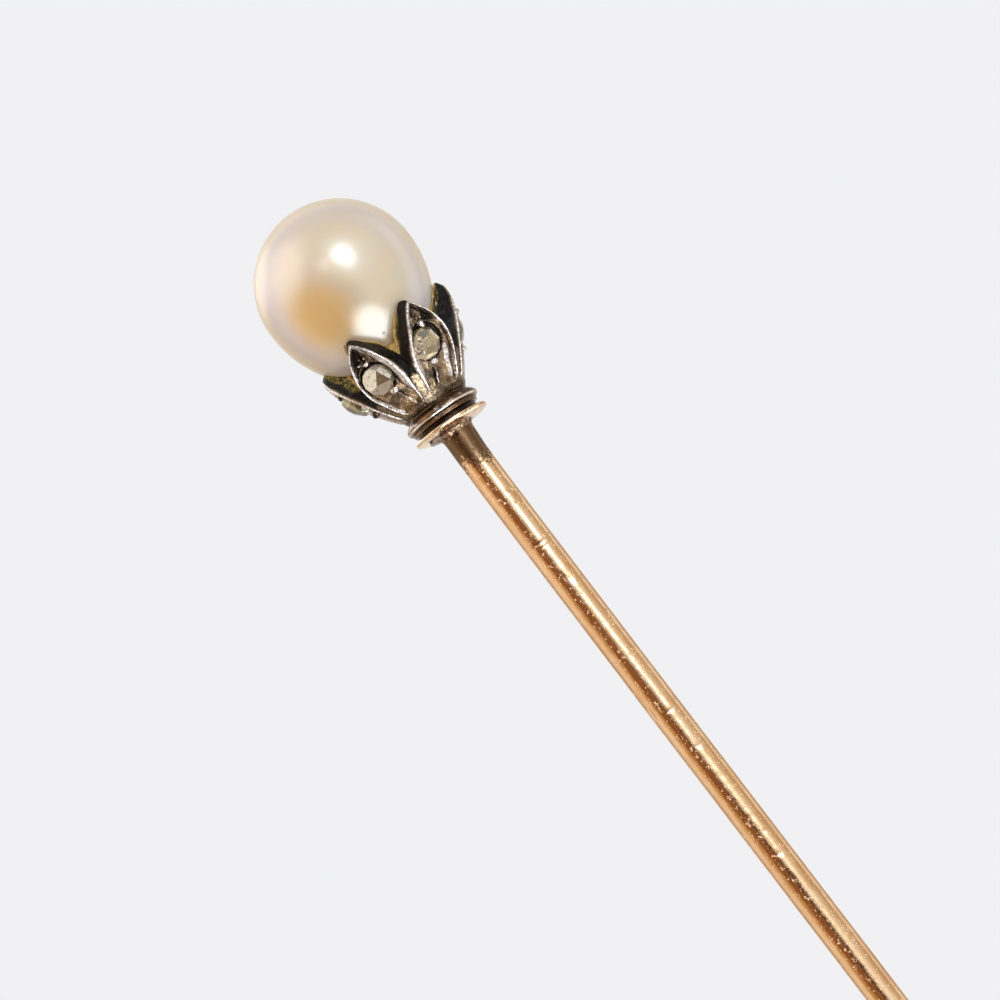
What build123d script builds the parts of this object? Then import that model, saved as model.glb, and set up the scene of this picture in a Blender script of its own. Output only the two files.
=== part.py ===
"""A pearl-headed hat pin: a gold stem carrying a silver calyx of six stone-set petals, and in it one pearl.

Millimetres. +Z runs up the pin towards the pearl. The origin is on the pin's axis at the top of the
straight shank, just under the solder that joins it to the head.
"""

import os
from math import cos, pi, radians, sin, tan

from build123d import *

# --- driving dimensions ---------------------------------------------------------------------------
OVERALL_LENGTH = 120.0

PETALS = 6
SECTOR = 360 / PETALS  # degrees of the calyx that one petal takes
FIRST_PETAL = -90 + SECTOR / 2  # so that a gap between two petals faces -Y

SHANK_RADIUS = 0.675
POINT_LENGTH = 15.0  # the shank thins over this length
POINT_RADIUS = 0.07  # the point is slightly blunt

HEAD_BASE = 0.60  # underside of the gold disc
DISC_RADIUS = 1.67
DISC_THICKNESS = 0.30
COLLAR_BASE = HEAD_BASE + DISC_THICKNESS
COLLAR_HEIGHT = 0.68
CALYX_BASE = COLLAR_BASE + COLLAR_HEIGHT

PEARL_RADIUS = 3.50
PEARL_CENTRE = HEAD_BASE + 7.48  # the widest level; the pearl is longer below it than above
PEARL_RISE = 3.54
PEARL_DROP = 4.25
PEARL_TOP = PEARL_CENTRE + PEARL_RISE
PEG_RADIUS = 0.40
PEG_LENGTH = 5.60

CUP_RIM = HEAD_BASE + 3.45  # the gold cup's rim, which is also where the notches between petals end
CUP_FLOOR = 0.22
CEMENT_TOP = HEAD_BASE + 3.85

PETAL_TIP = HEAD_BASE + 4.75
PETAL_WIDEST = HEAD_BASE + 2.75
PETAL_HALF_WIDTH = 1.02  # at the outer surface; the sides spread towards the pearl
PETAL_FOOT_HALF_WIDTH = 0.66
PETAL_SIDE_DRAFT = 10.0  # degrees
PETAL_LEDGE_RADIUS = 2.25  # the petals' inner wall above the gold cup's rim
FOOT_TOP = HEAD_BASE + 1.27  # the petals stand on a plain band at the foot of the calyx
PEARL_CLEARANCE = 0.03
RIM_WIDTH = 0.09  # the bright-cut rim up both sides of each petal; the bed is open at the foot
BED_DEPTH = 0.14  # how far the bed lies below the rim
WEB_DEPTH = 0.07  # how far the strips between petals lie below their rims
WEB_RADIUS = 2.56  # the strips stop swelling here and go straight up to the notches

GEM_RADIUS = 0.65
GEM_HEIGHT = 0.48
GEM_STATION = 0.59  # place of the stone along the bell's profile, from base to tip
GEM_BACK = 0.30  # depth of the stone's flat base below the rim's surface
SEAT_CLEARANCE = 0.02
BEAD_RADIUS = 0.13
BEAD_OFFSET = 0.72  # from the stone's centre to each of its two beads

# The calyx is a bell: each wall's profile is one Bezier curve of (radius, height) points, from base to tip.
BELL_OUTER = [
    (1.42, CALYX_BASE), (2.00, HEAD_BASE + 1.90), (3.30, HEAD_BASE + 3.20), (3.13, HEAD_BASE + 5.00),
]
BELL_BED = [(r - BED_DEPTH, z) for r, z in BELL_OUTER]
BELL_WEB = [(r - WEB_DEPTH, z) for r, z in BELL_OUTER]
CUP_OUTER = [
    (1.20, CALYX_BASE), (1.72, HEAD_BASE + 1.95), (2.95, HEAD_BASE + 3.30), (2.80, HEAD_BASE + 5.00),
]
CUP_INNER = [
    (0.98, CALYX_BASE + CUP_FLOOR), (1.50, HEAD_BASE + 2.00), (2.75, HEAD_BASE + 3.35),
    (2.60, HEAD_BASE + 5.00),
]
REACH = 5.0  # longer than any radius in the head
UPWARDS = (Align.CENTER, Align.CENTER, Align.MIN)

os.makedirs("parts", exist_ok=True)


def save(piece, name):
    piece.label = name
    export_step(piece, f"parts/{name}.step")


def bell_face(curve, top=HEAD_BASE + 5.0):
    """The face between the axis and a bell profile, cut off level at top."""
    base, end = curve[0], curve[-1]
    with BuildSketch(Plane.XZ) as face:
        with BuildLine():
            Polyline(base, (0, base[1]), (0, end[1]), end)
            Bezier(*curve)
        make_face()
        with Locations((0, top)):
            Rectangle(2 * REACH, REACH, align=(Align.CENTER, Align.MIN), mode=Mode.SUBTRACT)
    return face.sketch


def pearl_solid(gap=0.0):
    """The undrilled pearl, grown by gap: two half eggs that meet at its widest level."""
    roundness = 0.5523  # handle length that makes a cubic curve follow a quarter ellipse
    side = PEARL_RADIUS + gap
    centre = PEARL_CENTRE
    with BuildPart() as solid:
        for height in (PEARL_RISE + gap, -PEARL_DROP - gap):
            with BuildSketch(Plane.XZ):
                with BuildLine():
                    Bezier((side, centre), (side, centre + roundness * height),
                           (roundness * side, centre + height), (0, centre + height))
                    Polyline((0, centre + height), (0, centre), (side, centre))
                make_face()
            revolve(axis=Axis.Z)
    return solid.part


def petal_prism(inset=0.0):
    """A leaf-shaped prism along +X, made smaller by inset: its sides close in as they go outwards."""
    length = 3.6
    draft = tan(radians(PETAL_SIDE_DRAFT))
    with BuildPart() as prism:
        for depth in (0, length):
            shrink = inset + draft * depth
            half = PETAL_HALF_WIDTH + draft * 2.65 - shrink
            foot = PETAL_FOOT_HALF_WIDTH + draft * 1.60 - shrink
            tip = PETAL_TIP + (draft * 3.10 - shrink) * 1.75
            base = FOOT_TOP - 3 * inset + draft * (depth - 2.20)
            with BuildSketch(Plane.YZ.offset(depth)):
                with BuildLine():
                    Bezier((0, tip), (0.48 * half, tip - 0.85), (half, HEAD_BASE + 3.90), (half, PETAL_WIDEST))
                    Bezier((half, PETAL_WIDEST), (half, PETAL_WIDEST - 0.60), (foot + 0.08, HEAD_BASE + 1.70),
                           (foot, base))
                    Line((foot, base), (0, base))
                    mirror(about=Plane.YZ)
                make_face()
        loft(ruled=True)
    return prism.part


def make_stem():
    """Gold wire: a spigot that goes up into the head, a slight flare, the straight shank and the point."""
    spigot_radius = 0.50
    spigot_top = COLLAR_BASE + 0.40
    flare_radius = 0.71
    tip = PEARL_TOP - OVERALL_LENGTH
    with BuildPart() as stem:
        with BuildSketch(Plane.XZ):
            with BuildLine():
                Polyline((0, tip), (0, spigot_top), (spigot_radius, spigot_top), (spigot_radius, HEAD_BASE),
                         (flare_radius, HEAD_BASE), (SHANK_RADIUS, 0), (SHANK_RADIUS, tip + POINT_LENGTH),
                         (POINT_RADIUS, tip + POINT_RADIUS))
                RadiusArc((0, tip), (POINT_RADIUS, tip + POINT_RADIUS), -POINT_RADIUS)
            make_face()
        revolve(axis=Axis.Z)
    return stem.part, spigot_radius, spigot_top, flare_radius


def make_solder(flare_radius):
    """The fillet of gold solder in the corner between the disc's underside and the stem."""
    spread = 0.42
    foot = 0.08
    stem_at_foot = SHANK_RADIUS + (flare_radius - SHANK_RADIUS) * foot / HEAD_BASE
    with BuildPart() as solder:
        with BuildSketch(Plane.XZ):
            with BuildLine():
                Polyline((stem_at_foot, foot), (flare_radius, HEAD_BASE), (flare_radius + spread, HEAD_BASE),
                         (flare_radius + 0.20, HEAD_BASE - 0.08), (flare_radius + 0.09, HEAD_BASE - 0.22),
                         close=True)
            make_face()
        revolve(axis=Axis.Z)
    return solder.part


def make_disc(bore):
    """The gold disc under the collar, with a rounded edge and a bore for the stem's spigot."""
    with BuildPart(Plane.XY.offset(HEAD_BASE)) as disc:
        Cylinder(DISC_RADIUS, DISC_THICKNESS, align=UPWARDS)
        fillet(disc.edges().filter_by(GeomType.CIRCLE), DISC_THICKNESS * 0.45)
        Cylinder(bore, DISC_THICKNESS, align=UPWARDS, mode=Mode.SUBTRACT)
    return disc.part


def make_collar(bore, bore_top):
    """The grooved collar under the calyx, bored from below for the stem and from above for the peg."""
    waist, edge, shoulder = 1.45, 1.66, 1.42
    edge_height = COLLAR_BASE + 0.40
    with BuildPart() as collar:
        with BuildSketch(Plane.XZ):
            with BuildLine():
                Line((0, COLLAR_BASE), (waist, COLLAR_BASE))
                Bezier((waist, COLLAR_BASE), (waist - 0.02, COLLAR_BASE + 0.16),
                       (edge - 0.04, edge_height - 0.12), (edge, edge_height - 0.03))
                Polyline((edge, edge_height - 0.03), (edge, edge_height + 0.03),
                         (shoulder, CALYX_BASE - 0.05), (shoulder, CALYX_BASE), (0, CALYX_BASE),
                         (0, COLLAR_BASE))
            make_face()
        revolve(axis=Axis.Z)
        with Locations((0, 0, COLLAR_BASE)):
            Cylinder(bore, bore_top - COLLAR_BASE, align=UPWARDS, mode=Mode.SUBTRACT)
        with Locations((0, 0, bore_top)):
            Cylinder(PEG_RADIUS, CALYX_BASE - bore_top, align=UPWARDS, mode=Mode.SUBTRACT)
    return collar.part


def make_inner_cup():
    """The gold cup that backs the petals, closes the stones' seats and holds the cement."""
    with BuildPart() as cup:
        revolve(bell_face(CUP_OUTER, CUP_RIM), axis=Axis.Z)
        revolve(bell_face(BELL_OUTER, FOOT_TOP), axis=Axis.Z)
        revolve(bell_face(CUP_INNER, CUP_RIM), axis=Axis.Z, mode=Mode.SUBTRACT)
        with Locations((0, 0, CALYX_BASE)):
            Cylinder(PEG_RADIUS, CUP_FLOOR, align=UPWARDS, mode=Mode.SUBTRACT)
    return cup.part


def make_peg(foot):
    """The gold peg that stands in the cup's floor and goes up into the pearl's drill hole."""
    with BuildPart(Plane.XY.offset(foot)) as peg:
        Cylinder(PEG_RADIUS, PEG_LENGTH, align=UPWARDS)
        chamfer(peg.faces().sort_by(Axis.Z)[-1].edges(), 0.12)
    return peg.part


def make_pearl(peg_top):
    """An egg-shaped pearl, drilled half through from below."""
    with BuildPart() as pearl:
        add(pearl_solid())
        with Locations((0, 0, HEAD_BASE)):
            Cylinder(PEG_RADIUS, peg_top - HEAD_BASE, align=UPWARDS, mode=Mode.SUBTRACT)
    return pearl.part


def make_cement():
    """The bed of pearl cement: it fills the cup round the pearl's lower end and slopes up onto the pearl."""
    with BuildPart() as cement:
        revolve(bell_face(CUP_INNER, CUP_RIM), axis=Axis.Z)
        with BuildSketch(Plane.XZ):
            with BuildLine():
                Polyline((0, CUP_RIM), (PETAL_LEDGE_RADIUS, CUP_RIM), (1.60, CEMENT_TOP), (0, CEMENT_TOP),
                         close=True)
            make_face()
        revolve(axis=Axis.Z)
        add(pearl_solid(), mode=Mode.SUBTRACT)
        with Locations((0, 0, CALYX_BASE)):
            Cylinder(PEG_RADIUS, REACH, align=UPWARDS, mode=Mode.SUBTRACT)
    return cement.part


def gem_plane():
    """The plane of a stone's flat base, on the petal that faces +X: its normal points out of the calyx."""
    with BuildLine(Plane.XZ, mode=Mode.PRIVATE) as profile:
        bell = Bezier(*BELL_OUTER)
    place, along = bell @ GEM_STATION, bell % GEM_STATION
    outward = Vector(along.Z, 0, -along.X)
    return Plane(place - outward * GEM_BACK, x_dir=(0, 1, 0), z_dir=outward)


def make_gem(base_plane):
    """A rose-cut stone: a flat base, a low girdle and a dome of three upper and nine lower facets."""
    girdle = GEM_HEIGHT * 0.35
    with BuildPart(base_plane) as gem:
        with BuildSketch(base_plane):
            RegularPolygon(GEM_RADIUS, 18)
        extrude(amount=GEM_HEIGHT)
        for count, slope, height in ((9, 52, girdle), (3, 24, GEM_HEIGHT * 0.74)):
            for i in range(count):
                angle = 2 * pi * i / count
                reach = GEM_RADIUS * cos(pi / 18) if count == 9 else GEM_RADIUS * 0.62
                tilt = radians(slope)
                point = Vector(reach * cos(angle), reach * sin(angle), height)
                normal = Vector(sin(tilt) * cos(angle), sin(tilt) * sin(angle), cos(tilt))
                facet = Plane(base_plane.from_local_coords(point), z_dir=base_plane.from_local_coords(normal)
                              - base_plane.origin)
                split(bisect_by=facet, keep=Keep.BOTTOM)
    return gem.part


def make_petal(gem, base_plane):
    """One silver petal, facing +X: a thick leaf with a raised rim round a sunk bed, a seat and two beads."""
    half_sector = radians(SECTOR / 2)
    with BuildPart() as web:
        Cylinder(WEB_RADIUS, CUP_RIM, align=UPWARDS)
        revolve(bell_face(BELL_WEB, CUP_RIM), axis=Axis.Z, mode=Mode.INTERSECT)
        with Locations((0, 0, HEAD_BASE)):
            Cylinder(REACH, FOOT_TOP - HEAD_BASE, align=UPWARDS, mode=Mode.SUBTRACT)
        revolve(bell_face(CUP_OUTER, CUP_RIM), axis=Axis.Z, mode=Mode.SUBTRACT)
    with BuildPart() as recess:
        add(petal_prism(RIM_WIDTH))
        revolve(bell_face(BELL_BED), axis=Axis.Z, mode=Mode.SUBTRACT)
    with BuildPart() as petal:
        revolve(bell_face(BELL_OUTER), axis=Axis.Z)
        add(pearl_solid(PEARL_CLEARANCE), mode=Mode.SUBTRACT)
        revolve(bell_face(CUP_OUTER, CUP_RIM), axis=Axis.Z, mode=Mode.SUBTRACT)
        with Locations((0, 0, CUP_RIM)):
            Cylinder(PETAL_LEDGE_RADIUS, REACH, align=UPWARDS, mode=Mode.SUBTRACT)
        add(petal_prism(), mode=Mode.INTERSECT)
        add(web.part)
        with BuildSketch(Plane.XY.offset(FOOT_TOP)):
            Polygon((0, 0), (REACH, -REACH * tan(half_sector)), (REACH, REACH * tan(half_sector)), align=None)
        extrude(amount=REACH, mode=Mode.INTERSECT)
        add(recess.part, mode=Mode.SUBTRACT)
        with BuildSketch(base_plane):
            Circle(GEM_RADIUS + SEAT_CLEARANCE)
        extrude(amount=REACH, both=True, mode=Mode.SUBTRACT)
        bead_height = GEM_BACK - BED_DEPTH + 0.05
        for side in (-1, 1):
            place = base_plane.from_local_coords(Vector(0, side * BEAD_OFFSET, bead_height))
            with Locations(place):
                Sphere(BEAD_RADIUS)
        add(gem, mode=Mode.SUBTRACT)
    return petal.part


stem, spigot_radius, spigot_top, flare_radius = make_stem()
cup = make_inner_cup()
base_plane = gem_plane()
gem = make_gem(base_plane)
petal = make_petal(gem, base_plane)

save(stem, "pin_stem")
save(make_solder(flare_radius), "stem_solder")
save(make_disc(spigot_radius), "stem_disc")
save(make_collar(spigot_radius, spigot_top), "collar")
save(cup, "inner_cup")
save(make_peg(spigot_top), "pearl_peg")
save(make_pearl(spigot_top + PEG_LENGTH), "pearl")
save(make_cement(), "pearl_cement")
for i in range(PETALS):
    turn = FIRST_PETAL + i * SECTOR
    save(petal.rotate(Axis.Z, turn), f"petal_{i + 1}")
    save(gem.rotate(Axis.Z, turn), f"diamond_{i + 1}")
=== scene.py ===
"""The look of a pearl-headed hat pin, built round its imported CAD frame.

Lengths are in millimetres in this file and become metres when a mesh is made. Heights called z here are row
heights; the head's own heights are counted from the underside of the gold disc, called BASE.
"""

import math

import bmesh
import bpy
import numpy as np
from mathutils import Matrix, Vector, noise


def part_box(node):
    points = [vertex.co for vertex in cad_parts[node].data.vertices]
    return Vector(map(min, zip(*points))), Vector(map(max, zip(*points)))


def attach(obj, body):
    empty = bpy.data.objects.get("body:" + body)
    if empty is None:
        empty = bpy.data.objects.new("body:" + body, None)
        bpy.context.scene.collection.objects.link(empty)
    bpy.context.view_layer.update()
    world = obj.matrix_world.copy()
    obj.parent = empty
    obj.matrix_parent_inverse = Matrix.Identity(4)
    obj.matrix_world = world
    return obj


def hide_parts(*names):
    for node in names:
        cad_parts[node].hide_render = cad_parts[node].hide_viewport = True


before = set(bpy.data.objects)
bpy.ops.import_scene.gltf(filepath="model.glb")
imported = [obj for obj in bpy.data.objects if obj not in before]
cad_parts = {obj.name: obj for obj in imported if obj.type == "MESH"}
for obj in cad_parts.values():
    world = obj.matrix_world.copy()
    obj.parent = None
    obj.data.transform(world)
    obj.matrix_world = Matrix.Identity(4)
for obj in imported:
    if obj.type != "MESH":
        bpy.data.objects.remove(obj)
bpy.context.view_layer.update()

MM = 0.001
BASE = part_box("stem_disc")[0].z / MM
PEARL_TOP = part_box("pearl")[1].z / MM
PEARL_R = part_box("pearl")[1].x / MM
PEARL_MID = PEARL_TOP - 3.54  # the pearl's widest level
PEARL_DROP = 4.25  # from there down to its lower end
PEARL_PIT = (0.12, -2.37, BASE + 4.335)  # a pin hole in its surface
STEM_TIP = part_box("pin_stem")[0].z / MM
SHANK_R = 0.675
PETALS = 6
SECTOR = 2 * math.pi / PETALS
BELL = ((1.40, 0.98), (2.00, 1.86), (3.36, 3.16), (3.17, 5.00))  # the calyx's profile, as a curve
NOTCH = 3.24  # the height at which the petals part
# How fast a petal's sides spread as they run in, by height: most where two petals meet in a valley.
DRAFT = ((1.3, 0.30), (2.2, 0.55), (2.6, 0.72), (3.0, 0.43), (3.3, 0.28), (3.6, 0.19), (3.8, 0.16))
HEAD_SHIFT = 0.11  # the head was soldered a little to the right of the shank's line
CALYX_SHIFT = 0.15  # and the calyx a little further


# ---------------------------------------------------------------- small tools


def bezier(points, t):
    """Points of one cubic curve at every t."""
    t = np.asarray(t)[:, None]
    a, b, c, d = (np.array(p, float) for p in points)
    return a * (1 - t) ** 3 + 3 * b * t * (1 - t) ** 2 + 3 * c * t * t * (1 - t) + d * t**3


def smooth(x, low, high):
    """0 below low, 1 above high, and an S between."""
    t = np.clip((np.asarray(x, float) - low) / (high - low), 0, 1)
    return t * t * (3 - 2 * t)


def hermite(xs, ys, x):
    """A smooth curve through (xs, ys), read at x."""
    xs, ys, x = np.array(xs, float), np.array(ys, float), np.clip(x, xs[0], xs[-1])
    slope = np.gradient(ys, xs)
    i = np.clip(np.searchsorted(xs, x) - 1, 0, len(xs) - 2)
    step = xs[i + 1] - xs[i]
    t = (x - xs[i]) / step
    return (
        ys[i] * (1 + 2 * t) * (1 - t) ** 2
        + slope[i] * step * t * (1 - t) ** 2
        + ys[i + 1] * t * t * (3 - 2 * t)
        + slope[i + 1] * step * t * t * (t - 1)
    )


def rough(points, size, seed=0.0):
    """Smooth noise from -1 to 1 at each point, with bumps about as far apart as size."""
    shift = Vector((seed * 7.3, seed * 3.1, seed * 5.7))
    return np.array([noise.noise(Vector(p) / size + shift) for p in np.asarray(points).tolist()])


def layered(points, layers):
    """The sum of several layers of noise at each point, each layer given as (height, size, seed)."""
    return sum(height * rough(points, size, seed) for height, size, seed in layers)[:, None]


def band(x, low, full, fading, gone):
    """1 between full and fading, and 0 below low and above gone."""
    return smooth(x, low, full) * (1 - smooth(x, fading, gone))


def wrapped(angle):
    """The same angle, from -pi to pi."""
    return (angle + math.pi) % (2 * math.pi) - math.pi


bell_curve = bezier(BELL, np.linspace(0, 1, 400))
bell_steps = np.hypot(*np.diff(bell_curve, axis=0).T)
bell_length = np.concatenate([[0], np.cumsum(bell_steps)])
bell_slope = np.gradient(bell_curve, axis=0)
bell_slope /= np.hypot(*bell_slope.T)[:, None]


def bell_radius(h):
    """The calyx's outer radius at height h."""
    return np.interp(h, bell_curve[:, 1], bell_curve[:, 0])


def bell_arc(h):
    """Length along the bell's profile up to height h."""
    return np.interp(h, bell_curve[:, 1], bell_length)


def bell_height(arc):
    """The height at a length along the bell's profile."""
    return np.interp(arc, bell_length, bell_curve[:, 1])


def bell_normal(h):
    """Radial and vertical parts of the outward normal."""
    along_r = np.interp(h, bell_curve[:, 1], bell_slope[:, 0])
    along_z = np.interp(h, bell_curve[:, 1], bell_slope[:, 1])
    return along_z, -along_r


def pearl_radius(h):
    """The pearl's radius at height h over the disc's underside."""
    dz = np.asarray(h, float) + BASE - PEARL_MID
    half = np.where(dz < 0, PEARL_DROP, PEARL_TOP - PEARL_MID)
    return PEARL_R * np.sqrt(np.clip(1 - (dz / half) ** 2, 0, 1))


def bedding_radius(h, least):
    """The radius just outside the pearl at height h, but never under the least one."""
    return np.maximum(least, pearl_radius(h) + 0.01)


def direction(azimuth, elevation):
    """A direction as seen from the pin: azimuth 0 is the front, positive is to the right."""
    a, e = math.radians(azimuth), math.radians(elevation)
    return Vector((math.sin(a) * math.cos(e), -math.cos(a) * math.cos(e), math.sin(e)))


def make(name, verts, faces, finish, node, attributes=None, flat=False, shift=0.0):
    """A mesh object from points in millimetres, moved by shift to the right, standing for its CAD node."""
    mesh = bpy.data.meshes.new(name)
    verts = np.asarray(verts, float) + np.array([shift, 0, 0])
    mesh.from_pydata((verts * MM).tolist(), [], faces)
    for key, values in (attributes or {}).items():
        layer = mesh.attributes.new(key, "FLOAT", "POINT")
        layer.data.foreach_set("value", np.asarray(values, np.float32))
    mesh.validate()
    work = bmesh.new()
    work.from_mesh(mesh)
    bmesh.ops.recalc_face_normals(work, faces=work.faces)
    work.to_mesh(mesh)
    work.free()
    mesh.polygons.foreach_set("use_smooth", [not flat] * len(mesh.polygons))
    obj = bpy.data.objects.new(name, mesh)
    bpy.context.scene.collection.objects.link(obj)
    record_slot, material = FINISHES[finish]
    obj.data.materials.append(material)
    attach(obj, "root")
    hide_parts(node)
    return obj


def polar(r, angle, z):
    """Points from distances out from the pin's axis, angles round it and heights."""
    return np.stack(np.broadcast_arrays(r * np.cos(angle), r * np.sin(angle), z), axis=-1)


def outwards(points):
    """The direction straight out from the pin's axis at each point."""
    flat = points * np.array([1, 1, 0])
    return flat / np.linalg.norm(flat, axis=1)[:, None]


def grid_faces(rows, columns, closed=False):
    """Quads over a grid of points stored row by row."""
    last = columns if closed else columns - 1
    faces = []
    for i in range(rows - 1):
        for j in range(last):
            a = i * columns + j
            b = i * columns + (j + 1) % columns
            faces.append((a, b, b + columns, a + columns))
    return faces


def shell_faces(rows, columns):
    """Quads over closed rings of points, with the last ring joined to the first."""
    top = (rows - 1) * columns
    faces = grid_faces(rows, columns, closed=True)
    return faces + [(top + j, top + (j + 1) % columns, (j + 1) % columns, j) for j in range(columns)]


def tube_faces(rows, columns):
    """Quads over closed rings of points, with one face across each end."""
    last = (rows - 1) * columns
    ends = [tuple(range(columns))[::-1], tuple(range(last, last + columns))]
    return grid_faces(rows, columns, closed=True) + ends


def revolve(profile, columns, layers):
    """Points and faces of a closed (radius, height) profile turned about the pin's axis, with noise on it."""
    ring = np.linspace(0, 2 * math.pi, columns, endpoint=False)
    points = polar(profile[:, :1], ring, profile[:, 1:]).reshape(-1, 3)
    points = points + outwards(points) * layered(points, layers)
    return points, shell_faces(len(profile), columns)


def rounded(profile, step):
    """A closed profile with a point at least every step."""
    profile = [np.array(p, float) for p in profile]
    out = []
    for a, b in zip(profile, profile[1:] + profile[:1]):
        count = max(1, int(np.hypot(*(b - a)) / step))
        out += [a + (b - a) * k / count for k in range(count)]
    return np.array(out)


def curve_through(points, step):
    """A smooth open profile through the points, with a point at about every step."""
    p = np.array(points, float)
    s = np.concatenate([[0], np.cumsum(np.hypot(*np.diff(p, axis=0).T))])
    t = np.linspace(0, s[-1], max(4, int(s[-1] / step)))
    return np.stack([hermite(s, p[:, 0], t), hermite(s, p[:, 1], t)], axis=1)


# ---------------------------------------------------------------- materials


class Tree:
    """A short way to write a node tree."""

    def __init__(self, tree):
        self.tree = tree
        tree.nodes.clear()

    def link(self, value, socket):
        if isinstance(value, bpy.types.NodeSocket):
            self.tree.links.new(value, socket)
        else:
            socket.default_value = value

    def node(self, kind, inputs=None, **settings):
        """A new node, with inputs given by name or number as sockets or plain values."""
        node = self.tree.nodes.new("ShaderNode" + kind)
        for key, value in settings.items():
            setattr(node, key, value)
        for key, value in (inputs or {}).items():
            self.link(value, node.inputs[key])
        return node

    def remap(self, value, low, high, to_low=0.0, to_high=1.0):
        inputs = {"Value": value, "From Min": low, "From Max": high, "To Min": to_low, "To Max": to_high}
        return self.node("MapRange", inputs, interpolation_type="SMOOTHSTEP").outputs["Result"]

    def math(self, operation, *values):
        return self.node("Math", dict(enumerate(values)), operation=operation).outputs[0]

    def mix(self, factor, a, b):
        a, b = (v if isinstance(v, bpy.types.NodeSocket) else (*v, 1) for v in (a, b))
        return self.node("Mix", {"Factor": factor, "A": a, "B": b}, data_type="RGBA").outputs["Result"]

    def blend(self, value, low, high, a, b, share=1.0):
        """Colour a where the value is low, turning into b, or into its share of b, where it is high."""
        return self.mix(self.remap(value, low, high, 0, share), a, b)

    def plus(self, a, b, share):
        """The value a with a share of b added."""
        return self.math("MULTIPLY_ADD", b, share, a)


class Nodes(Tree):
    """A material's node tree, ending in one Principled BSDF."""

    def __init__(self, name):
        self.material = bpy.data.materials.new(name)
        self.material.use_nodes = True
        super().__init__(self.material.node_tree)
        self.bsdf = self.node("BsdfPrincipled")
        self.node("OutputMaterial", {0: self.bsdf.outputs[0]})
        place = self.node("TexCoord").outputs["Object"]
        # The point's place in millimetres.
        self.mm = self.node("VectorMath", {0: place, "Scale": 1 / MM}, operation="SCALE").outputs[0]

    def finish(self, **values):
        """The finished material, with these inputs of its shader."""
        for key, value in values.items():
            self.link(value, self.bsdf.inputs[key.replace("_", " ")])
        return self.material

    def stretch(self, x, y, z):
        return self.node("VectorMath", {0: self.mm, 1: (x, y, z)}, operation="MULTIPLY").outputs[0]

    def noise(self, scale, detail=3.0, roughness=0.55, vector=None, distortion=0.0):
        inputs = {"Vector": vector or self.mm, "Scale": scale, "Detail": detail}
        inputs |= {"Roughness": roughness, "Distortion": distortion}
        return self.node("TexNoise", inputs).outputs["Fac"]

    def cells(self, scale):
        return self.node("TexVoronoi", {"Vector": self.mm, "Scale": scale}).outputs["Distance"]

    def attribute(self, name):
        return self.node("Attribute", attribute_name=name).outputs["Fac"]

    def bump(self, height, distance, strength=1.0, under=None):
        inputs = {"Distance": distance * MM, "Strength": strength, "Height": height}
        if under is not None:
            inputs["Normal"] = under
        return self.node("Bump", inputs).outputs[0]


def gold_material(name, bright, brown, gloss, dirt_and_painted_shade):
    """Old rose-yellow gold: polish worn by handling, a thin reddish tarnish, drawing lines and small pits,
    and dark specks that the mesh's mark crowds into painted shade and a painted dark reflection.
    """
    n = Nodes(name)
    clouds = n.noise(0.8, 5, 0.6)
    streaks = n.noise(5.0, 4, 0.6, n.stretch(1, 1, 0.10))
    darkening_mask = n.plus(n.math("MULTIPLY", clouds, 0.5), streaks, 0.5)
    body = n.blend(darkening_mask, 0.42, 0.66, bright, brown)
    specks = n.noise(8.0, 5, 0.72)
    # Dark specks of dirt, crowded by the mesh's mark into painted shade on the disc's underside, a painted
    # dark reflection down the wire's front and a darker band at the top of the wire.
    line = n.attribute("dirt_and_painted_shade")
    specks_and_painted_shade = n.remap(n.plus(specks, line, 0.26), 0.64, 0.76, 0, dirt_and_painted_shade)
    body = n.mix(specks_and_painted_shade, body, (0.10, 0.052, 0.022))
    lines = n.bump(n.noise(15.0, 3, 0.6, n.stretch(1, 1, 0.05)), 0.010, 0.45)
    pits = n.bump(n.remap(n.noise(6.5, 5, 0.68), 0.28, 0.42), 0.016, 0.8, lines)
    shine = n.plus(n.remap(darkening_mask, 0.35, 0.7, gloss, gloss + 0.12), specks_and_painted_shade, 0.2)
    return n.finish(Base_Color=body, Metallic=1.0, Roughness=shine, Normal=pits)


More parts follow.
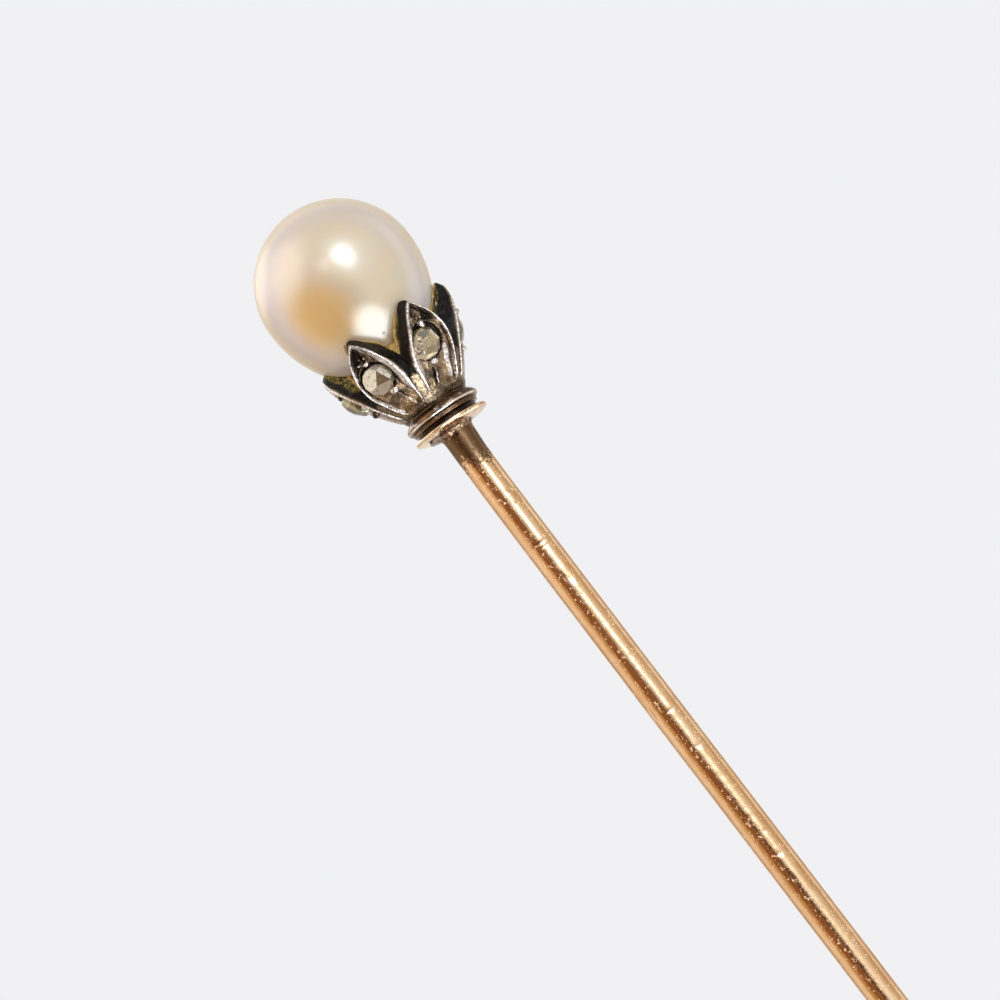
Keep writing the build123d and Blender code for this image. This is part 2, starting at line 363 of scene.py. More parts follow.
def silver_material():
    """Oxidised silver: bright cut rims, smooth brown-grey beds, dark holes and nearly black sides."""
    n = Nodes("oxidised_silver")
    rim = n.attribute("rim")
    wall = n.attribute("wall")
    fine = n.noise(10.0, 4, 0.65)
    clouds = n.noise(1.7, 3, 0.5)
    bed = n.blend(clouds, 0.38, 0.62, (0.105, 0.077, 0.050), (0.37, 0.255, 0.150))
    bed = n.blend(n.noise(2.6, 4, 0.6, distortion=0.8), 0.50, 0.66, bed, (0.05, 0.037, 0.026), 0.8)
    bed = n.blend(n.noise(13.0, 3, 0.6), 0.60, 0.68, bed, (0.05, 0.035, 0.025), 0.5)
    edge = n.blend(fine, 0.50, 0.64, (0.97, 0.91, 0.87), (0.38, 0.30, 0.25))
    metal = n.mix(rim, bed, edge)
    black = n.blend(fine, 0.52, 0.74, (0.010, 0.008, 0.007), (0.060, 0.048, 0.040))
    body = n.mix(wall, metal, black)
    crumbs = n.noise(8.0, 4, 0.6)
    crust = n.math("MULTIPLY", n.remap(crumbs, 0.34, 0.60), n.remap(n.attribute("crust"), 0.1, 0.7))
    paste = n.blend(n.noise(14.0, 3, 0.6), 0.42, 0.60, (0.08, 0.066, 0.017), (0.46, 0.38, 0.10))
    body = n.mix(crust, body, paste)
    shine = n.plus(n.remap(fine, 0.3, 0.7, 0.10, 0.26), wall, 0.20)
    coarse = n.bump(n.noise(2.6, 3, 0.5), 0.080, 0.7)
    grain = n.bump(n.noise(14.0, 3, 0.55), 0.005, 0.5, coarse)
    lumps = n.bump(crumbs, 0.05, 0.8, grain)
    return n.finish(
        Base_Color=body,
        Metallic=n.plus(1.0, wall, -0.3),
        Roughness=n.plus(shine, crust, 0.2),
        Normal=lumps,
    )


def cup_material():
    """The calyx between the petals: worn gold low down, with painted shade turning it black in the notches.
    """
    n = Nodes("worn_gilding")
    wall = n.attribute("wall")
    rim = n.attribute("rim")
    fine = n.noise(8.0, 4, 0.65)
    gilt = n.blend(fine, 0.48, 0.62, (0.30, 0.215, 0.13), (0.09, 0.062, 0.035))
    brown = n.blend(fine, 0.42, 0.60, (0.14, 0.10, 0.06), (0.03, 0.023, 0.016))
    body = n.mix(rim, brown, gilt)
    # Painted shade: black where the mesh marks the notches between the petals.
    body = n.mix(wall, body, (0.024, 0.019, 0.017))
    coarse = n.bump(n.noise(6.0, 5, 0.62), 0.035, 0.6)
    shine = n.remap(fine, 0.3, 0.7, 0.18, 0.42)
    return n.finish(Base_Color=body, Metallic=0.95, Roughness=shine, Normal=coarse)


def collar_material():
    """Dark silver-brown with warm polish on the turned edges."""
    n = Nodes("collar_silver")
    rim = n.attribute("rim")
    wall = n.attribute("wall")
    fine = n.noise(9.0, 4, 0.65, n.stretch(1, 1, 2.5))
    clouds = n.noise(1.3, 4, 0.6)
    body = n.blend(clouds, 0.42, 0.62, (0.26, 0.16, 0.085), (0.13, 0.085, 0.06))
    body = n.blend(fine, 0.56, 0.68, body, (0.03, 0.02, 0.015), 0.85)
    body = n.mix(rim, body, (0.97, 0.88, 0.80))
    # Painted shade: nearly black where the mesh marks the grooves.
    body = n.mix(wall, body, (0.03, 0.02, 0.015))
    turned = n.bump(n.noise(11.0, 3, 0.6, n.stretch(0.35, 0.35, 6)), 0.014, 0.6)
    coarse = n.bump(n.noise(4.0, 4, 0.6), 0.016, 0.5, turned)
    shine = n.remap(fine, 0.3, 0.7, 0.07, 0.20)
    return n.finish(Base_Color=body, Metallic=1.0, Roughness=shine, Normal=coarse)


def solder_material():
    """Lumpy solder: brown-gold with dark pits."""
    n = Nodes("pitted_solder")
    pits = n.noise(4.5, 5, 0.62)
    body = n.blend(pits, 0.47, 0.60, (0.35, 0.225, 0.14), (0.055, 0.028, 0.016))
    bump = n.bump(pits, 0.06, 0.7)
    shine = n.remap(pits, 0.4, 0.6, 0.12, 0.34)
    return n.finish(Base_Color=body, Metallic=0.95, Roughness=shine, Normal=bump)


def pearl_material():
    """Nacre: a warm cream body with a painted orange reflection on one flank, under a blurred gloss that is
    lavender at the sides.
    """
    n = Nodes("nacre")
    drift = n.noise(0.20, 3, 0.5)
    veil = n.noise(0.8, 4, 0.55, distortion=0.6)
    body = n.blend(drift, 0.36, 0.64, (0.90, 0.76, 0.55), (0.90, 0.80, 0.665))
    body = n.blend(veil, 0.46, 0.66, body, (0.82, 0.79, 0.60), 0.55)
    # Painted reflection: an orange patch where the mesh's mark lies, on the pearl's lower left flank.
    painted_orange_reflection = n.plus(n.attribute("painted_orange_reflection"), n.math("SUBTRACT", veil, 0.5), 0.5)
    body = n.blend(painted_orange_reflection, 0.15, 0.95, body, (1.0, 0.64, 0.25), 0.85)
    from_pit = n.node("VectorMath", {0: n.mm, 1: PEARL_PIT}, operation="DISTANCE").outputs["Value"]
    body = n.blend(from_pit, 0.095, 0.045, body, (0.05, 0.04, 0.03))
    edge = n.node("LayerWeight", {"Blend": 0.5}).outputs["Facing"]
    ring = n.math("MULTIPLY", n.remap(edge, 0.17, 0.36), n.remap(edge, 0.74, 0.52))
    return n.finish(
        Base_Color=body,
        Metallic=0.12,
        Roughness=0.26,
        IOR=1.6,
        Specular_IOR_Level=n.remap(edge, 0.40, 0.66, 0.5, 0.05),
        Specular_Tint=n.mix(ring, (0.96, 0.98, 1.0), (0.84, 0.84, 1.0)),
        Subsurface_Weight=0.55,
        Subsurface_Radius=(1.0, 0.72, 0.45),
        Subsurface_Scale=0.0013,
        Coat_Weight=n.remap(edge, 0.38, 0.64, 0.8, 0.0),
        Coat_Roughness=0.24,
        Coat_IOR=1.65,
        Sheen_Weight=n.plus(0.12, ring, 0.88),
        Sheen_Roughness=0.6,
        Sheen_Tint=n.mix(ring, (1.0, 0.90, 0.80), (0.74, 0.72, 1.0)),
        Normal=n.bump(n.noise(30.0, 2, 0.5), 0.0015, 0.4),
    )


def diamond_material(name, bright, deep, cloudy, coat=1.0):
    """An old rose-cut stone in a closed seat: its facets send back light or the dark metal behind it, which
    is painted into their colour as light and shade, with painted glints too.
    """
    n = Nodes(name)
    wisps = n.noise(3.4, 5, 0.65, distortion=1.2)
    # Painted light and shade: each facet's colour runs from deep to bright by its painted level.
    tone = n.attribute("tone")
    body = n.mix(tone, deep, bright)
    body = n.blend(wisps, 0.44, 0.64, body, (0.34, 0.26, 0.10), cloudy)
    spots = n.remap(n.noise(6.0, 3, 0.6), 0.56, 0.66, 0, 0.35 + 0.6 * cloudy)
    body = n.mix(spots, body, (0.06, 0.045, 0.016))
    # Painted glints: small near-white spots, more of them on the cloudy stones.
    painted_glints = n.remap(n.noise(7.0, 2, 0.5, distortion=0.8), 0.66, 0.72, 0, cloudy)
    body = n.mix(painted_glints, body, (1.0, 1.0, 0.95))
    return n.finish(
        Base_Color=body,
        Metallic=0.55,
        Roughness=n.remap(wisps, 0.45, 0.70, 0.05, 0.08 + 0.2 * cloudy),
        IOR=2.2,
        Coat_Weight=coat,
        Coat_Roughness=0.02,
        Coat_IOR=2.0,
        Normal=n.bump(n.noise(6.0, 3, 0.5), 0.014 + 0.04 * cloudy, 0.2 + 0.8 * cloudy),
    )


def cement_material():
    """Grainy yellow-green residue of pearl cement and old gilding."""
    n = Nodes("pearl_cement")
    clumps = n.noise(4.0, 5, 0.7)
    grit = n.cells(13.0)
    body = n.blend(clumps, 0.40, 0.60, (0.62, 0.39, 0.10), (0.34, 0.215, 0.05))
    body = n.blend(grit, 0.30, 0.62, body, (0.76, 0.54, 0.21), 0.6)
    bump = n.bump(grit, 0.05, 0.8, n.bump(clumps, 0.06, 0.7))
    return n.finish(Base_Color=body, Metallic=0.25, Roughness=0.55, Specular_IOR_Level=0.4, Normal=bump)


# Each finish, with the record's slot that it stands for.
FINISHES = {
    "stem_gold": ("gold", gold_material("stem_gold", (0.90, 0.60, 0.35), (0.80, 0.47, 0.24), 0.10, 0.9)),
    "disc_gold": ("gold", gold_material("disc_gold", (0.93, 0.72, 0.51), (0.74, 0.49, 0.31), 0.09, 0.8)),
    "solder": ("solder", solder_material()),
    "silver": ("silver", silver_material()),
    "cup": ("gold", cup_material()),
    "collar": ("silver", collar_material()),
    "pearl": ("pearl", pearl_material()),
    "diamond": ("diamond", diamond_material("diamond", (1.0, 0.96, 0.82), (0.17, 0.13, 0.055), 0.20)),
    "cloudy_diamond": (
        "diamond", diamond_material("cloudy_diamond", (0.82, 0.65, 0.37), (0.09, 0.064, 0.024), 0.75)
    ),
    # A darker copy of the cloudy stone: painted shade for the stones in the two side petals.
    "dim_diamond": (
        "diamond", diamond_material("dim_diamond", (0.42, 0.36, 0.17), (0.05, 0.04, 0.016), 0.75, 0.4)
    ),
    "cement": ("cement", cement_material()),
}


# ---------------------------------------------------------------- calyx

# Height and half-width of a petal's outline, from the foot to the tip.
OUTLINE = (
    (1.12, 0.60), (1.31, 0.67), (1.45, 0.73), (1.75, 0.82), (2.05, 0.90), (2.35, 0.97), (2.60, 1.01),
    (2.85, 1.02), (3.10, 0.99), (3.35, 0.94), (3.62, 0.82), (3.88, 0.69), (4.12, 0.54), (4.34, 0.37),
    (4.52, 0.21), (4.62, 0.11), (4.69, 0.02),
)  # fmt: skip
OUTLINE_TIP = OUTLINE[-1][0]


class Petal:
    """One hand-cut petal: where it stands and how it strays from its neighbours.

    Sideways places are counted to the petal's right, as seen from outside.
    """

    foot = middle = top = 1.0  # scales of its width
    shift = lean = 0.0  # how far its lower half and its tip stand to the right
    tip = 0.0  # how much taller it is
    twist = 0.0  # how far the tip's inner corner lies to the right of its outer one
    wide = 0  # which side's rim is broader: -1 left, 1 right
    seat = (0, 0, 0.73)  # the hole round the stone: sideways, up and radius
    beads = ((0.02, 0.72, 0.15, 1.0), (-0.03, -0.90, 0.16, 1.25))  # sideways, up, radius and stretch of each
    bead_polish = 0.7  # 0 for grains that have gone black
    marks = ()  # engraved lines: the two ends, half-width and depth
    smeared = False  # with cement over its front wall
    stone, stone_depth = (0, 0), 0.33  # the stone's place: sideways and up, and how deep it sits
    finish, tone = "cloudy_diamond", 1.0  # the stone's material and how much painted light its facets get

    TIP_LENGTH = 0.55  # the part in which the sides close in to the tip
    TIP_RISE = 0.24  # how much higher the tip's inner corner is than its outer one
    TIP_SPREAD = 0.07  # and how much wider the metal is there

    def __init__(self, index, **traits):
        self.index = index
        self.azimuth = -math.pi / 2 + SECTOR / 2 + index * SECTOR
        for key, value in traits.items():
            setattr(self, key, value)

    def half_width(self, h):
        w = np.array(OUTLINE)
        scale = hermite((1.4, 2.5, 3.6, 4.6), (self.foot, self.middle, self.top, self.top), h)
        return scale * np.interp(h, w[:, 0] + self.tip * smooth(w[:, 0], 3.2, OUTLINE_TIP), w[:, 1])

    def edges(self, h):
        """Sideways places of the petal's two edges at height h."""
        h = np.asarray(h, float)
        middle = self.shift * (1 - smooth(h, 2.4, 3.4)) + self.lean * smooth(h, 3.0, OUTLINE_TIP) ** 1.3
        w = self.half_width(h)
        return middle - w, middle + w

    def place(self, y, h, out):
        """Points at sideways distance y, height h and distance out from the bell's surface."""
        r = bell_radius(h)
        nr, nz = bell_normal(h)
        angle = self.azimuth + np.arcsin(np.clip(y / r, -0.99, 0.99))
        r = r + out * nr
        return polar(r, angle, h + out * nz + BASE)

    def build(self):
        """Points, faces and marks of the petal, with rows crowded to its tip and columns to its edges."""
        rows, columns = 170, 96
        share = np.linspace(0, 1, rows)
        start, end = bell_arc(OUTLINE[0][0]), bell_arc(OUTLINE_TIP + self.tip)
        arc = start + (end - start) * (1 - (1 - share) ** 1.25)
        c = np.linspace(-1, 1, columns)
        c = np.sign(c) * (1 - (1 - abs(c)) ** 1.3)
        low, high = self.edges(bell_height(arc))
        y = (low[:, None] + high[:, None]) / 2 + (high - low)[:, None] / 2 * c
        side = np.broadcast_to(c, y.shape)
        arc = np.repeat(arc[:, None], columns, axis=1)
        h = bell_height(arc)
        outline = np.concatenate([
            np.stack([y[:, 0], arc[:, 0]], axis=1),
            np.stack([y[::-1, -1], arc[::-1, -1]], axis=1),
        ])  # fmt: skip
        edge = self.distance(np.stack([y.ravel(), arc.ravel()], axis=1), outline).reshape(y.shape)
        flat = self.place(y, h, 0 * y).reshape(-1, 3)
        lumps = rough(flat, 0.36, self.index).reshape(y.shape)
        small = rough(flat, 0.11, self.index + 9).reshape(y.shape)
        out, rim, hole = self.relief(y, arc, h, edge, side, lumps, small)
        return self.close(self.place(y, h, out), rim, hole)

    @staticmethod
    def distance(points, outline):
        """Distance of each point to the outline's two sides and tip."""
        best = np.full(len(points), 9.0)
        for a, b in zip(outline, outline[1:]):
            d = b - a
            length = max(float(d @ d), 1e-9)
            t = np.clip(((points - a) @ d) / length, 0, 1)
            best = np.minimum(best, np.hypot(*(points - a - t[:, None] * d).T))
        return best

    def relief(self, y, arc, h, edge, side, lumps, small):
        """How far each point stands out from the bell, how much of a bright rim it is, and of a dark hole."""
        foot = smooth(h, 1.24, 1.50)  # 0 on the plain foot band
        # From the edge inwards: the bright crest of the rim, a slope and the sunk bed.
        broad = 0.5 + 0.5 * np.clip(side * self.wide * 3, -1, 1) if self.wide else 0.35
        crest = 0.050 + 0.010 * np.sin(arc * 7 + self.index * 2.1)
        slope = 0.075 + 0.20 * broad * smooth(h, 1.5, 2.3)
        fall = smooth(edge, crest, crest + slope)
        dulled = 1 - 0.6 * smooth(h, 3.2, 4.3) * smooth(lumps, -0.6, 0.3)
        rim = (1 - smooth(edge, crest, crest + 0.035)) * foot * dulled
        bevel = (1 - smooth(edge, crest + slope * 0.55, crest + slope * 0.95)) * foot * 0.62
        edge_round = 0.030 * (1 - smooth(edge, 0.0, 0.045)) ** 2
        bowl = 0.055 * np.cos(np.clip(y / 0.75, -1, 1) * math.pi / 2)
        out = -edge_round - (0.125 + bowl * foot) * (fall * foot + 0.5 * (1 - foot))
        # The hole round the stone and its lip, the crease below the slope, and the dark hollow under the tip.
        hy, ha, radius = self.seat
        reach = np.hypot((y - hy), (arc - GEM_ARC - ha) / 1.06)
        hole = (1 - smooth(reach, radius - 0.05, radius + 0.015)) * fall
        crease = np.exp(-(((edge - crest - slope - 0.01) / 0.035) ** 2)) * smooth(h, 1.7, 2.6)
        hole = np.maximum(hole, 0.8 * crease * smooth(lumps, -0.5, 0.1))
        hole = np.maximum(hole, 0.92 * fall * smooth(h, 3.40, 3.85) * smooth(lumps, -0.6, 0.3))
        lip = np.exp(-(((reach - radius - 0.035) / 0.035) ** 2)) * fall
        out = out - 0.20 * hole + 0.012 * lip
        out += 0.012 * lumps * (0.4 + fall) + 0.0045 * small * (0.5 + fall)
        # Grains of metal, domes that stand on the bed.
        for x, up, size, stretch in self.beads:
            d = np.hypot((y - x) / stretch, arc - GEM_ARC - up) * (1 + 0.16 * small)
            bead = np.sqrt(np.clip(size**2 - d**2, 0, None))
            out = np.where(bead > 0, np.maximum(out, -0.17 + bead * 1.2), out)
            rim = np.maximum(rim, self.bead_polish * smooth(bead / size, 0.15, 0.5))
            raised = smooth(bead / size, 0.05, 0.3)
            hole = hole * (1 - raised) + (0 if self.bead_polish else 0.9) * raised
        # Engraved lines, or ridges where the depth is negative.
        for x0, h0, x1, h1, wide, deep in self.marks:
            a, b = np.array([x0, bell_arc(h0)]), np.array([x1, bell_arc(h1)])
            d = b - a
            t = np.clip(((y - a[0]) * d[0] + (arc - a[1]) * d[1]) / (d @ d), 0, 1)
            sway = 0.018 * np.sin(t * 9 + self.index)
            away = np.hypot(y - a[0] - t * d[0] - sway, arc - a[1] - t * d[1])
            mark = np.exp(-((away / wide) ** 2))
            out = out - deep * mark
            if deep > 0:
                hole = np.maximum(hole, smooth(mark, 0.25, 0.7) * 0.9)
            else:
                rim = np.maximum(rim, smooth(mark, 0.35, 0.8) * 0.9)
        return out, np.maximum(rim, bevel * (1 - hole)), hole

    def close(self, top, rim, hole):
        """Adds the thick sides, which run in to the pearl, and closes the petal behind."""
        rows, columns, _ = top.shape
        grid = np.arange(rows * columns).reshape(rows, columns)
        loop = np.concatenate([grid[:, 0], grid[-1, 1:], grid[-2::-1, -1], grid[0, -2:0:-1]])
        points = top.reshape(-1, 3)
        # The petal's own axes are outwards, to its right and up.
        turn = np.array([polar(1, self.azimuth, 0), polar(1, self.azimuth + math.pi / 2, 0), (0, 0, 1)])
        local = points[loop] @ turn.T
        # The way out of the outline at each of its points.
        along = np.roll(local, -1, axis=0) - np.roll(local, 1, axis=0)
        out_y, out_z = -along[:, 2], along[:, 1]
        size = np.hypot(out_y, out_z) + 1e-9
        out_y, out_z = out_y / size, out_z / size
        flip = -np.sign(np.median(out_y[: rows // 2]))
        out_y, out_z = out_y * flip, out_z * flip
        # The sides run in to the pearl, or below the notch into the cup's wall.
        h = local[:, 2] - BASE
        inner = np.where(h >= NOTCH, bedding_radius(h + 0.2, 2.22), 1.9)
        inner = np.minimum(inner, bell_radius(h) - 0.20)
        depth = local[:, 0] - np.sqrt(np.clip(inner**2 - local[:, 1] ** 2, 0.1, None))
        draft = np.interp(h, *np.transpose(DRAFT))
        tip = OUTLINE_TIP + self.tip
        near_tip = smooth(h, tip - self.TIP_LENGTH, tip)
        rings = 12
        verts, walls, crusts = [points], [hole.ravel()], [np.zeros(len(points))]
        front = out_y > 0
        for k in range(1, rings + 1):
            share = k / rings
            bend = near_tip * math.sin(share * math.pi / 2)
            ring = local.copy()
            ring[:, 0] -= depth * share
            ring[:, 1] += out_y * draft * depth * share + (out_y * self.TIP_SPREAD + self.twist) * bend
            ring[:, 2] += out_z * draft * depth * share * (1 - near_tip) + self.TIP_RISE * bend
            wobble = rough(ring @ turn, 0.30, self.index + 4) * 0.03 * math.sin(math.pi * min(share, 0.98))
            ring[:, 1] += out_y * wobble
            ring[:, 2] += out_z * wobble
            verts.append(ring @ turn)
            walls.append(np.full(len(ring), smooth(share, 0.0, 0.14)))
            line, smear = 0.8 * smooth(share, 0.80, 1.0), smooth(share, 0.25, 0.75)
            crusts.append(np.where(front & self.smeared, smear, line) * smooth(h, 3.1, 3.5))
        verts = np.concatenate(verts)
        faces = grid_faces(rows, columns)
        count, first = len(loop), rows * columns
        ids = [loop.tolist()]
        ids += [list(range(first + k * count, first + (k + 1) * count)) for k in range(rings)]
        for a, b in zip(ids, ids[1:]):
            faces += [(a[i], a[(i + 1) % count], b[(i + 1) % count], b[i]) for i in range(count)]
        faces.append(tuple(ids[-1][::-1]))
        wall = np.concatenate(walls)
        rims = np.concatenate([rim.ravel(), 1 - wall[rows * columns :]])
        return verts, faces, {"rim": rims * (wall < 0.6), "wall": wall, "crust": np.concatenate(crusts)}

    def sill(self, side):
        """The line where one side of the petal meets the pearl, from the notch up to the tip."""
        h = np.linspace(NOTCH + 0.05, OUTLINE_TIP + self.tip, 60)
        y = self.edges(h)[0 if side < 0 else 1]
        depth = bell_radius(h) - bedding_radius(h + 0.1, 2.24)
        y = y + side * (np.interp(h, *np.transpose(DRAFT)) * depth + 0.04)
        y = y + self.twist * smooth(h, OUTLINE_TIP - self.TIP_LENGTH, OUTLINE_TIP)
        h = h + 0.22 * smooth(h, OUTLINE_TIP - 0.5, OUTLINE_TIP)
        r = bedding_radius(h, 2.24)
        angle = self.azimuth + np.arcsin(np.clip(y / r, -0.95, 0.95))
        return h, r, angle


# Where the stones stand on the bell's profile.
GEM_POINT = bezier(BELL, [0.59])[0]
GEM_ARC = float(bell_arc(GEM_POINT[1]))

# Petal 6 and petal 1 stand left and right of the front gap, and the rest follow round to the right.
PETAL = [
    Petal(0, foot=1.10, middle=1.055, top=0.955, shift=-0.05, lean=-0.12, twist=-0.06, wide=-1,
          seat=(-0.14, -0.04, 0.80), stone=(-0.32, -0.13),
          beads=((-0.13, 0.74, 0.17, 0.8), (-0.06, 0.60, 0.10, 1.0), (-0.22, -0.95, 0.14, 1.5),
                 (0.0, 0.98, 0.06, 1.0)),
          marks=((-0.36, 1.95, -0.39, 1.46, 0.05, 0.12), (-0.27, 1.80, -0.33, 1.45, 0.03, -0.05),
                 (-0.20, 3.95, -0.16, 4.35, 0.05, 0.06), (0.56, 2.50, 0.42, 1.50, 0.15, -0.015))),
    # Its stone gets painted shade: the darker finish and dimmer painted facets.
    Petal(1, middle=1.01, lean=0.05, tip=0.24, twist=-0.05, wide=1, seat=(0.02, 0.03, 0.75),
          stone=(0.12, -0.05), stone_depth=0.52, finish="dim_diamond", tone=0.3,
          marks=((0.02, 1.95, 0.04, 1.42, 0.035, 0.07),)),
    Petal(2, foot=1.03, middle=0.98, lean=-0.07, tip=-0.05, wide=-1, finish="diamond",
          marks=((-0.05, 1.95, 0.02, 1.42, 0.04, 0.08),)),
    Petal(3, foot=0.97, middle=1.02, lean=0.08, tip=0.04, wide=1, stone=(0.04, 0),
          marks=((0.04, 1.98, -0.03, 1.40, 0.04, 0.08), (0.12, 1.80, 0.06, 1.42, 0.03, -0.04))),
    # Its stone gets painted shade: the darker finish.
    Petal(4, foot=1.0, middle=0.97, lean=0.03, tip=-0.02, seat=(0.0, 0.04, 0.75), bead_polish=0.0,
          smeared=True, finish="dim_diamond", marks=((0.0, 1.95, 0.03, 1.42, 0.035, 0.07),)),
    Petal(5, foot=0.86, middle=0.96, top=0.95, shift=-0.06, lean=0.13, twist=-0.12, wide=1,
          seat=(-0.07, -0.04, 0.76), stone=(-0.14, -0.13), finish="diamond",
          beads=((0.07, 0.72, 0.11, 1.4), (0.05, -0.90, 0.17, 1.3), (0.19, -0.99, 0.06, 1.0),
                 (-0.02, 1.05, 0.06, 1.0), (0.16, 0.98, 0.05, 1.0), (-0.24, 0.86, 0.06, 1.0)),
          marks=((0.13, 2.02, 0.12, 1.72, 0.035, 0.09), (0.10, 1.80, 0.14, 1.38, 0.028, -0.05),
                 (0.03, 3.85, 0.06, 4.25, 0.10, 0.09))),
]  # fmt: skip


def build_petals():
    """The six petals."""
    for petal in PETAL:
        verts, faces, attributes = petal.build()
        node = f"petal_{petal.index + 1}"
        make(node + "_cut", verts, faces, "silver", node, attributes, shift=CALYX_SHIFT)


def build_cup():
    """The calyx's foot band, the strips between its petals, and its gold lining, as one closed shell."""
    heights = np.concatenate([np.linspace(1.0, 1.26, 7), np.linspace(1.30, NOTCH, 60)])
    under, strip = 5, 15  # points across the back of a petal, and from one petal to the next
    points, rim, wall = [], [], []
    for h in heights:
        edges = [(p.azimuth + np.arcsin(np.array(p.edges(h)) / bell_radius(h))) for p in PETAL]
        for i, (start, end) in enumerate(edges):
            following = edges[(i + 1) % PETALS][0] + (2 * math.pi if i == PETALS - 1 else 0)
            slack = 0.05 / bell_radius(h)
            inside = np.linspace(start + slack, end - slack, under)
            outside = np.linspace(end - slack * 0.9, following + slack * 0.9, strip)
            foot = 1 - smooth(h, 1.24, 1.31)
            # Set back behind the petals, and slightly hollow between them.
            hidden = np.full(under, bell_radius(h) - 0.38 * (1 - foot) - 0.045)
            across = np.linspace(-1, 1, strip)
            shown = np.minimum(bell_radius(h) - 0.045 - 0.030 * across**2 * (1 - foot), 2.30)
            points.append(polar(np.append(hidden, shown), np.append(inside, outside), h + BASE))
            rim += [0.0] * under + list((1 - foot) * (1 - 0.3 * across**2) + 0.12 * foot)
            # Painted shade mark: black in the notch at the top of each strip, reaching lower at its sides.
            wall += [0.0] * under + list(smooth(h + 0.30 * abs(across), 2.26, 2.44))
    columns = PETALS * (under + strip)
    points = np.concatenate(points)
    points = points + outwards(points) * layered(points, ((0.016, 0.30, 3), (0.008, 0.10, 5)))
    last = points[-columns:]
    rings = [points]
    for radius, h in ((2.36, NOTCH + 0.01), (2.28, NOTCH - 0.03), (1.9, 2.7), (1.35, 2.0), (0.95, 1.25),
                      (0.42, 1.22), (0.42, 1.0)):  # fmt: skip
        rings.append(outwards(last) * radius + np.array([0, 0, h + BASE]))
        rim += [0.9] * columns
        wall += [0.0] * columns
    verts = np.concatenate(rings)
    faces = shell_faces(len(verts) // columns, columns)
    make("calyx_cup", verts, faces, "cup", "inner_cup", {"rim": rim, "wall": wall}, shift=CALYX_SHIFT)


build_petals()
build_cup()


# ---------------------------------------------------------------- stones


def cut_stone(outline, height, facets):
    """A stone cut from a prism by facets: direction and slope in degrees, how far out and how high."""
    work = bmesh.new()
    face = work.faces.new([work.verts.new(p) for p in outline])
    lifted = bmesh.ops.extrude_face_region(work, geom=[face])["geom"]
    top = [g for g in lifted if isinstance(g, bmesh.types.BMVert)]
    bmesh.ops.translate(work, vec=(0, 0, height), verts=top)
    for turn, slope, reach, lift in facets:
        a, s = math.radians(turn), math.radians(slope)
        normal = Vector((math.sin(s) * math.cos(a), math.sin(s) * math.sin(a), math.cos(s)))
        point = Vector((reach * math.cos(a), reach * math.sin(a), lift))
        geometry = list(work.verts) + list(work.edges) + list(work.faces)
        plane = {"plane_co": point, "plane_no": normal}
        cut = bmesh.ops.bisect_plane(work, geom=geometry, clear_outer=True, dist=1e-6, **plane)
        rim = [g for g in cut["geom_cut"] if isinstance(g, bmesh.types.BMEdge)]
        if len(rim) > 2:
            bmesh.ops.contextual_create(work, geom=rim)
    bmesh.ops.recalc_face_normals(work, faces=work.faces)
    worn = list(work.edges)
    bmesh.ops.bevel(work, geom=worn, offset=0.012, segments=1, affect="EDGES", clamp_overlap=True)
    work.verts.ensure_lookup_table()
    verts = np.array([v.co[:] for v in work.verts])
    faces = [tuple(v.index for v in f.verts) for f in work.faces]
    work.free()
    return verts, faces


def stone_outline(index):
    """An uneven round girdle."""
    a = 2 * math.pi * np.arange(15) / 15
    r = 0.66 * (1 + 0.045 * np.sin(2 * a + index * 1.3) + 0.035 * np.sin(3 * a + index * 2.7))
    return polar(r, a, 0)


def stone_facets(index):
    """An uneven rose cut: nine low facets, six broad upper ones and a small three-sided top."""
    facets = []
    for k in range(9):
        a = k * 40 + 9 * math.sin(k * 2.3 + index)
        facets.append((a, 60 + 5 * math.sin(k * 1.9 + index * 1.1), 0.63, 0.20))
    for k in range(6):
        a = k * 60 + 17 * index + 8 * math.sin(k * 1.7 + index)
        facets.append((a, 34 + 4 * math.sin(k * 2.9 + index), 0.46, 0.38))
    for k in range(3):
        a = 120 * k + 37 * index + 14 * math.sin(k + index)
        facets.append((a, 16 + 3 * math.sin(k * 3.1 + index), 0.20, 0.47))
    return facets


WORN_EDGE = 0.004  # a face smaller than this is a worn edge between facets, in square millimetres

# The stone in the petal left of the front gap: a three-sided table, tipped down, among three broad facets.
# Angles are counted from the petal's right-hand side, anticlockwise as seen from outside.
THREE_SIDED_STONE = 5
THREE_SIDED = [
    (10, 64, 0.64, 0.12), (50, 62, 0.63, 0.14), (95, 62, 0.63, 0.14), (140, 62, 0.65, 0.12),
    (180, 64, 0.64, 0.12), (225, 62, 0.64, 0.12), (270, 64, 0.64, 0.12), (320, 62, 0.63, 0.12),
    (132, 30, 0.07, 0.40), (250, 33, 0.115, 0.40), (11, 48, 0.38, 0.40), (0, 1, 0, 0.40),
]  # fmt: skip


